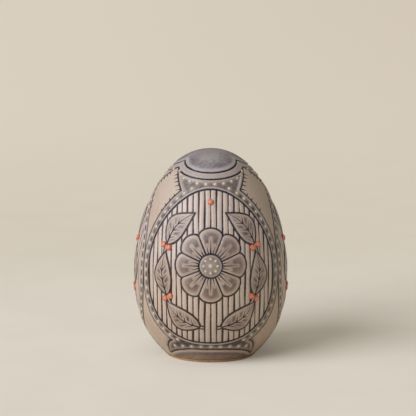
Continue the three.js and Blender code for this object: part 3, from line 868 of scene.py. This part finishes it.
def berry_places(side):
    places = []
    for n in range(1, LEAVES):
        degrees = along_branch((n + LEAF_FOOT / 2) / LEAVES)
        across = turned_by(heading(degrees, side), math.pi / 2)
        places += [branch_point(degrees, side) + k * BERRY_ASIDE * across for k in (-1, 1)]
    return places


def berry(azimuth, height):
    return dome(azimuth, height, REED - 0.1, BERRY_RADIUS, BERRY_RISE, "coral_slip", 28, 9)


def laurel(side):
    berries = [berry(*spray_spot(*place)) for place in berry_places(side)]
    return joined([branch(side), *(leaf.shape() for leaf in leaves(side)), *berries])


def spray_outlines():
    lines = [rosette_line()]
    for side in (-1, 1):
        lines += branch_lines(side) + [leaf.outline() for leaf in leaves(side)]
    return lines


def spray_covers(x, height):
    """True where the rosette or a leaf lies over the ground"""
    down = ROSETTE_HEIGHT - height
    covered = np.hypot(x, down) < petal_rim(np.arctan2(x, down))
    for side in (-1, 1):
        for leaf in leaves(side):
            covered |= leaf.covers(x, height)
    return covered


# Crown
def crown_cap():
    azimuth = once_round(288, 360)
    edge = scallop(azimuth, CAP_EDGE)
    share = np.sin(np.linspace(0, 1, 57) ** 1.15 * np.pi / 2)[None, :]
    face = Face(azimuth, edge + (EGG_HEIGHT - edge) * share, 0)
    distance = face.away(all_round(CAP_LINE))
    corner = smooth(36, 58, np.abs(azimuth - SECTOR * np.round(azimuth / SECTOR)))
    face.depth = 0.6 * smooth(1.6, 3.6, distance) * (1 - smooth(4.5, 12, distance)) * (1 - 0.9 * corner)
    face.carve(distance)
    return slab(face, "crown_glaze", (4, 8), wrap=True, pole=True)


def crown_ring():
    azimuth = once_round(432, 360)
    low, high = scallop(azimuth, RING_EDGE), scallop(azimuth, CAP_EDGE)
    face = Face(azimuth, low + (high - low) * eased(24)[None, :], RIM)
    face.carve(face.away(all_round(CAP_LINE) + all_round(RING_LINE)))
    return slab(face, "ring_glaze", (4, 6), wrap=True)


# Shell with its spandrels, base and foot
def spandrel_edge(height):
    """Azimuth of the right border of a medallion at a height"""
    foot = np.array([[LENS_CORNER + 0.3, FOOT_TOP], [LENS_CORNER + 0.4, foot_line(BRACKET_CORNER) - 0.2]])
    border = np.concatenate([foot, BRACKET_SIDE[::-1], FRAME_LINE[1:-1], COLLAR_SIDE])
    order = np.argsort(border[:, 1], kind="stable")
    return np.minimum(np.interp(height, border[order, 1], border[order, 0]), SECTOR / 2 - 0.25)


def strokes(line, starts, run):
    """Straight strokes that start at shares of the way along a line"""
    ends = [line[int(at * (len(line) - 1))] for at in starts]
    return [np.array([end, end + np.array(run)]) for end in ends]


def spikes():
    """Short marks that run out from the collar and the shoulders onto a spandrel"""
    return strokes(COLLAR_SIDE, SPIKE_STARTS, SPIKE_RUN) + strokes(FRAME_LINE, TICK_STARTS, TICK_RUN)


def hatching():
    """Fine parallel strokes on a spandrel beside the bracket's horn"""
    return strokes(BRACKET_SIDE, np.linspace(0, HATCH_SPAN, HATCH_COUNT), HATCH_RUN)


def spandrel():
    low, high = FOOT_TOP + JOINT, scallop(59.0, RING_EDGE)
    height = (low + (high - low) * eased(344, 0.3))[None, :]
    edge = spandrel_edge(height)
    across = eased(80, 0.5)[:, None]
    face = Face(edge + (SECTOR - 2 * edge) * across, height, LAND)
    distance = face.away(across_spandrel([FRAME_LINE, COLLAR_SIDE, BRACKET_SIDE, RING_LINE]))
    face.depth = 0.25 * (1 - smooth(0, 3, distance))
    face.carve(distance)
    face.scratch(across_spandrel(spikes()), (-0.25, 0.4), 0.3, 0.5)
    face.scratch(across_spandrel(hatching()), (0.0, 0.4), 0.2, 0.45)
    return slab(face, "stone_glaze", (4, 8), back=SHELL - 0.6)


def egg_shell():
    bottom = FOOT_TOP + JOINT
    top_inside = EGG_HEIGHT + SHELL - WALL
    rise = (1 - np.cos(np.pi * np.linspace(0.02, 1, 36))) / 2
    outer = on_egg(90.0, bottom + (EGG_HEIGHT - bottom) * rise, SHELL)
    fall = (1 + np.cos(np.pi * np.linspace(0, 1, 30)[1:-1])) / 2
    mouth_top = BASE_TOP + JOINT
    low_inside = mouth_top + WALL
    inner = on_egg(90.0, low_inside + (EGG_HEIGHT - low_inside) * fall, SHELL - WALL)
    tiny = 0.01
    profile = [[FOOT_RADIUS - 1.0, bottom], *([max(x, tiny), z] for x, _, z in outer), [tiny, top_inside]]
    profile += [[x, z] for x, _, z in inner if z < top_inside - 0.05]
    profile += [[MOUTH_RADIUS, mouth_top], [MOUTH_RADIUS, bottom]]
    return turned(profile, "stone_glaze", 108)


def foot_ring():
    top = FOOT_TOP + JOINT
    corners = [[MOUTH_RADIUS, 0], [FOOT_RADIUS - 0.1, 0], [radius_at(top) - 0.2, top], [MOUTH_RADIUS, top]]
    return turned(rounded_loop(corners, (0.5, 0.5, 0.1, 0.2)), "bare_clay", 192)


def base_plate():
    edge = MOUTH_RADIUS - BASE_GAP
    inward, outward = [VENT_RADIUS, edge], [edge, VENT_RADIUS]
    corners = [[x, BASE_BOTTOM] for x in inward] + [[x, BASE_TOP] for x in outward]
    return turned(rounded_loop(corners, (0.4, 0.4, 0.4, 0.4)), "bare_clay", 96)


# Materials
def linear(colour):
    """Scene colour of a display colour written as three numbers up to 255"""
    parts = [c / 255 for c in colour]
    return [p / 12.92 if p <= 0.04045 else ((p + 0.055) / 1.055) ** 2.4 for p in parts] + [1.0]


BROWN_BLACK = [44, 34, 32]
NAVY = [27, 31, 54]
FOOT_TINT = [136, 100, 60]  # the glaze turns from warm at the foot to cool at the crown
CROWN_TINT = [168, 164, 196]


class Nodes:
    """Short hand for building the node tree of a material or world"""

    def __init__(self, owner):
        self.owner = owner
        owner.use_nodes = True
        self.tree = owner.node_tree
        self.tree.nodes.clear()

    def feed(self, socket, value):
        """Gives a socket the output of another node, a display colour or a number"""
        if isinstance(value, bpy.types.NodeSocket):
            self.tree.links.new(value, socket)
        else:
            socket.default_value = linear(value) if isinstance(value, list) else value

    def add(self, kind, inputs=None, **settings):
        node = self.tree.nodes.new(kind)
        for key, value in settings.items():
            setattr(node, key, value)
        for key, value in (inputs or {}).items():
            self.feed(node.inputs[key], value)
        return node

    def place(self):
        return self.add("ShaderNodeTexCoord").outputs["Object"]

    def axis(self, letter):
        return self.add("ShaderNodeSeparateXYZ", {"Vector": self.place()}).outputs[letter]

    def attribute(self, name):
        return self.add("ShaderNodeAttribute", attribute_name=name).outputs["Fac"]

    def noise(self, size, detail=3.0, roughness=0.5):
        """Noise from 0 to 1, with features about size mm across"""
        inputs = {"Scale": 1 / (size * MM), "Detail": detail, "Roughness": roughness}
        return self.add("ShaderNodeTexNoise", {"Vector": self.place(), **inputs}).outputs["Fac"]

    def ramp(self, value, low, high, start=0.0, end=1.0, kind="SMOOTHSTEP"):
        inputs = {"Value": value, "From Min": low, "From Max": high, "To Min": start, "To Max": end}
        return self.add("ShaderNodeMapRange", inputs, interpolation_type=kind).outputs["Result"]

    def math(self, operation, a, b=0.0):
        return self.add("ShaderNodeMath", {0: a, 1: b}, operation=operation).outputs[0]

    def times(self, a, b):
        return self.math("MULTIPLY", a, b)

    def plus(self, a, b):
        return self.math("ADD", a, b)

    def swing(self, noise, reach):
        """Noise turned into a value that swings about 0"""
        return self.times(self.math("SUBTRACT", noise, 0.5), reach)

    def mix(self, share, a, b, blend="MIX"):
        node = self.add("ShaderNodeMix", data_type="RGBA", blend_type=blend)
        for key, value in (("Factor_Float", share), ("A_Color", a), ("B_Color", b)):
            self.feed(next(s for s in node.inputs if s.identifier == key), value)
        return next(s for s in node.outputs if s.identifier == "Result_Color")

    def finish(self, colour, roughness, height, relief, coat=0.0):
        bump = self.add("ShaderNodeBump", {"Height": height, "Strength": relief, "Distance": 0.2 * MM})
        inputs = {"Base Color": colour, "Roughness": roughness, "Normal": bump.outputs["Normal"]}
        inputs.update({"Coat Weight": coat, "Coat Roughness": 0.2})
        shader = self.add("ShaderNodeBsdfPrincipled", inputs)
        return self.end("ShaderNodeOutputMaterial", shader)

    def end(self, kind, shader):
        self.add(kind, {"Surface": shader.outputs[0]})
        return self.owner

    def camera_sees(self, share, kept, seen):
        """One shader for light, and by a share another one for the camera"""
        from_camera = self.add("ShaderNodeLightPath").outputs["Is Camera Ray"]
        inputs = {0: self.times(from_camera, share), 1: kept.outputs[0], 2: seen.outputs[0]}
        return self.add("ShaderNodeMixShader", inputs)


def glaze(name, pale, body, dark, edge, line_high, reach, rough, mottled):
    """Satin glaze: pale where it breaks over edges, dark where it lies deep and where painted shade is held
    in the depth attribute, darkest in carved lines.
    The lines are brown near the foot and blue-black near the crown."""
    n = Nodes(bpy.data.materials.new(name))
    distance = n.plus(n.attribute("groove"), n.swing(n.noise(1.6), 0.3))
    patchy = n.noise(9.0, 4.0, 0.55)
    uneven = n.plus(n.swing(n.noise(2.2, 4.0, 0.65), mottled), n.swing(patchy, 0.6))
    # The depth attribute holds both glaze lying deep and painted shade
    deep = n.plus(n.attribute("depth"), uneven)
    colour = n.mix(n.ramp(deep, 0.0, 1.0, kind="LINEAR"), body, dark)
    warm = n.mix(0.5, colour, [150, 120, 96], "SOFT_LIGHT")
    colour = n.mix(n.ramp(n.noise(22.0, 2.0), 0.42, 0.66, 0.0, 0.5), colour, warm)
    near_edge = n.times(n.ramp(distance, 0.35, 0.6), n.ramp(distance, 0.8, reach, 1.0, 0.0))
    shown = n.times(n.times(near_edge, edge), n.ramp(patchy, 0.3, 0.7, 0.55, 1.0))
    colour = n.mix(shown, colour, pale)
    speck = n.ramp(n.noise(0.55, 2.0), 0.66, 0.72)
    flecked = n.ramp(n.noise(3.1, 2.0), 0.5, 0.62, 0.0, 0.5)
    colour = n.mix(n.times(speck, flecked), colour, [78, 62, 52])
    blue = n.ramp(n.plus(n.axis("Z"), n.times(patchy, 0.03)), 0.05, 0.1)
    colour = n.mix(0.09, colour, n.mix(blue, FOOT_TINT, CROWN_TINT))
    pooled = n.ramp(distance, 0.18, 0.52, 0.98, 0.0)
    colour = n.mix(pooled, colour, n.mix(blue, BROWN_BLACK, line_high))
    grain = n.noise(0.9, 4.0, 0.6)
    grainy = n.ramp(grain, 0.3, 0.7, rough - 0.05, rough + 0.08)
    roughness = n.math("SUBTRACT", grainy, n.times(pooled, 0.12))
    height = n.plus(grain, n.times(n.noise(4.0), 2.5))
    return n.finish(colour, roughness, height, 0.22, 0.15)


def slip(name, middle, edge, rough):
    """Raised dot of coloured slip, lighter on top as a painted highlight and darker towards its foot as
    painted shade
    """
    n = Nodes(bpy.data.materials.new(name))
    deep = n.plus(n.attribute("depth"), n.swing(n.noise(1.3, 3.0), 0.7))
    colour = n.mix(n.ramp(deep, 0.15, 1.0), middle, edge)
    grain = n.noise(0.5, 3.0)
    return n.finish(colour, n.ramp(grain, 0.3, 0.7, rough - 0.06, rough + 0.1), grain, 0.2, 0.2)


def bare_clay(name):
    """Unglazed stoneware: ochre, with fine sand and a browner band where it met the glaze"""
    n = Nodes(bpy.data.materials.new(name))
    colour = n.mix(n.ramp(n.noise(5.0, 4.0), 0.3, 0.7), [226, 184, 136], [204, 160, 114])
    sand = n.ramp(n.noise(0.35, 2.0), 0.6, 0.7)
    colour = n.mix(n.times(sand, 0.5), colour, [118, 88, 60])
    wavy = n.plus(n.axis("Z"), n.swing(n.noise(4.0), 0.5 * MM))
    glazed = n.ramp(wavy, (GLAZE_LINE - 0.15) * MM, (GLAZE_LINE + 0.25) * MM)
    colour = n.mix(glazed, colour, [128, 104, 86])
    grain = n.noise(0.4, 5.0, 0.7)
    return n.finish(colour, n.ramp(grain, 0.3, 0.7, 0.78, 0.92), grain, 0.5)


# Colours of each glaze at its edges, on its body and where it lies deep or in painted shade, how strong the
# edges are, the colour of its lines near the crown, how far the edges reach, and how rough and how mottled
# it is
GLAZES = {
    "stone_glaze": ([220, 202, 185], [210, 190, 172], [170, 147, 126], 0.35, [58, 54, 58], 2.3, 0.5, 1.0),
    "crown_glaze": ([198, 189, 184], [166, 158, 158], [98, 92, 98], 0.9, NAVY, 2.8, 0.36, 1.8),
    "ring_glaze": ([202, 188, 179], [178, 164, 156], [112, 98, 94], 0.8, NAVY, 2.3, 0.42, 1.4),
    "mauve_glaze": ([216, 195, 180], [182, 160, 147], [86, 66, 58], 0.85, NAVY, 2.3, 0.42, 0.9),
    "channel_glaze": ([200, 186, 176], [176, 161, 152], [76, 62, 60], 0.7, NAVY, 2.3, 0.42, 1.2),
    "reed_glaze": ([234, 214, 200], [216, 196, 182], [154, 136, 125], 0.7, NAVY, 1.9, 0.42, 1.0),
}
MATERIALS = {name: glaze(name, *values) for name, values in GLAZES.items()}
MATERIALS["coral_slip"] = slip("coral_slip", [232, 146, 112], [198, 86, 66], 0.3)
MATERIALS["pearl_slip"] = slip("pearl_slip", [224, 209, 186], [186, 169, 148], 0.34)
MATERIALS["bare_clay"] = bare_clay("bare_clay")


def add_object(name, data):
    made = bpy.data.objects.new(name, data)
    bpy.context.scene.collection.objects.link(made)
    return made


def build(node, shape, azimuth):
    """Mesh object of a shape turned to an azimuth, in place of a node of the model"""
    mesh = bpy.data.meshes.new(f"{node}_fired")
    mesh.from_pydata((turned_round(shape.points, azimuth) * MM).tolist(), [], shape.faces)
    finishes = list(dict.fromkeys(shape.finishes))
    for finish in finishes:
        mesh.materials.append(MATERIALS[finish])
    mesh.polygons.foreach_set("material_index", [finishes.index(f) for f in shape.finishes])
    mesh.polygons.foreach_set("use_smooth", [True] * len(mesh.polygons))
    for key in ("groove", "depth"):
        attribute = mesh.attributes.new(key, "FLOAT", "POINT")
        attribute.data.foreach_set("value", getattr(shape, key).astype(np.float32))
    mesh.update()
    mesh.set_sharp_from_angle(angle=55 * RAD)
    piece = add_object(f"{node}_fired", mesh)
    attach(piece, "root")
    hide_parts(node)


def make_body():
    land = spandrel()
    rest = (land.faces, land.groove, land.depth, "stone_glaze")
    lands = [Shape(turned_round(land.points, k * SECTOR), *rest) for k in range(len(PLACES))]
    pieces = {
        "foot_ring": (foot_ring(), "bare_clay"),
        "base_plate": (base_plate(), "bare_clay"),
        "crown_cap": (crown_cap(), "crown_glaze"),
        "crown_ring": (crown_ring(), "ring_glaze"),
        "egg_shell": (joined([egg_shell(), *lands]), "stone_glaze"),
    }
    for name, (shape, slot) in pieces.items():
        build(name, shape, 0)


def make_medallions():
    pieces = {
        "inner_rim": (inner_rim(), "ring_glaze"),
        "pearl_strip_left": (pearl_strip(-1), "channel_glaze"),
        "pearl_strip_right": (pearl_strip(1), "channel_glaze"),
        "outer_rim_left": (outer_rim(-1), "ring_glaze"),
        "outer_rim_right": (outer_rim(1), "ring_glaze"),
        "collar": (collar(), "channel_glaze"),
        "bracket": (bracket(), "channel_glaze"),
        "foot_band": (foot_band(), "mauve_glaze"),
        "reeded_panel": (reeded_panel(), "reed_glaze"),
        "rosette": (rosette(), "mauve_glaze"),
        "rosette_eye": (rosette_eye(), "mauve_glaze"),
        "laurel_left": (laurel(-1), "mauve_glaze"),
        "laurel_right": (laurel(1), "mauve_glaze"),
        "top_berry": (berry(0.0, TOP_BERRY_HEIGHT), "coral_glaze"),
    }
    for k, place in enumerate(PLACES):
        for name, (shape, slot) in pieces.items():
            build(f"{name}_{place}", shape, k * SECTOR)


# Stage
def make_camera():
    data = bpy.data.cameras.new("camera")
    data.sensor_width = SENSOR
    data.lens = FOCAL_PIXELS / FRAME_PIXELS * SENSOR
    data.clip_start, data.clip_end = 0.05, 50.0
    camera = add_object("camera", data)
    camera.location = [c * MM for c in CAMERA_PLACE]
    camera.rotation_euler.x = (90 - CAMERA_PITCH) * RAD
    bpy.context.scene.camera = camera


def stage_material():
    """Paper that takes the egg's shadow close by, lightened for the camera by a painted glow, and shows a
    plain colour to the camera further off
    """
    n = Nodes(bpy.data.materials.new("stage_paper"))
    side, depth = n.axis("X"), n.axis("Y")
    reach = n.math("SQRT", n.plus(n.times(side, side), n.times(depth, depth)))
    grain = n.ramp(n.noise(60.0), 0.3, 0.7)
    paper = n.mix(grain, [236, 230, 218], [239, 233, 221])
    near = n.mix(grain, [209, 200, 184], [211, 202, 186])
    # Painted light: the far colour is a little lighter on the left, the side of the key lamp
    distant = n.mix(n.ramp(side, -0.35, 0.35), [219, 209, 192], [214, 203, 186])
    shown = n.mix(n.ramp(depth, 0.3, 1.2), near, distant)
    shader = n.add("ShaderNodeBsdfDiffuse", {"Color": paper, "Roughness": 0.9})
    glow = n.add("ShaderNodeEmission", {"Color": shown})
    # Painted glow: beside the egg the camera sees a share of plain colour that lightens the shadow
    share = n.ramp(reach, *STAGE_REACH, STAGE_GLOW, 0.95)
    return n.end("ShaderNodeOutputMaterial", n.camera_sees(share, shader, glow))


def make_stage():
    mesh = bpy.data.meshes.new("floor")
    corners = [(x * STAGE_HALF, y * STAGE_HALF, 0) for x, y in ((-1, -1), (1, -1), (1, 1), (-1, 1))]
    mesh.from_pydata(corners, [], [(0, 1, 2, 3)])
    mesh.materials.append(stage_material())
    floor = add_object("floor", mesh)


def make_world():
    """Soft light from all round, and a plain horizon for the camera"""
    n = Nodes(bpy.data.worlds.new("studio"))
    soft = n.add("ShaderNodeBackground", {"Color": [255, 249, 232], "Strength": SKY_LIGHT})
    horizon = n.add("ShaderNodeBackground", {"Color": [216, 207, 191]})
    bpy.context.scene.world = n.end("ShaderNodeOutputWorld", n.camera_sees(1.0, soft, horizon))


def make_light(name, place, size, power, colour):
    """Round lamp that points at the middle of the egg"""
    data = bpy.data.lights.new(name, "AREA")
    data.shape = "DISK"
    data.size, data.energy, data.color = size, power, colour
    light = add_object(name, data)
    light.location = place
    direction = Vector((0, 0, EGG_HEIGHT * MM / 2)) - Vector(place)
    light.rotation_euler = direction.to_track_quat("-Z", "Y").to_euler()


make_camera()
make_body()
make_medallions()
make_stage()
make_world()
make_light("key", KEY_PLACE, KEY_SIZE, KEY_POWER, KEY_COLOUR)
make_light("top", TOP_PLACE, TOP_SIZE, TOP_POWER, TOP_COLOUR)
bpy.context.scene.view_settings.view_transform = "Standard"
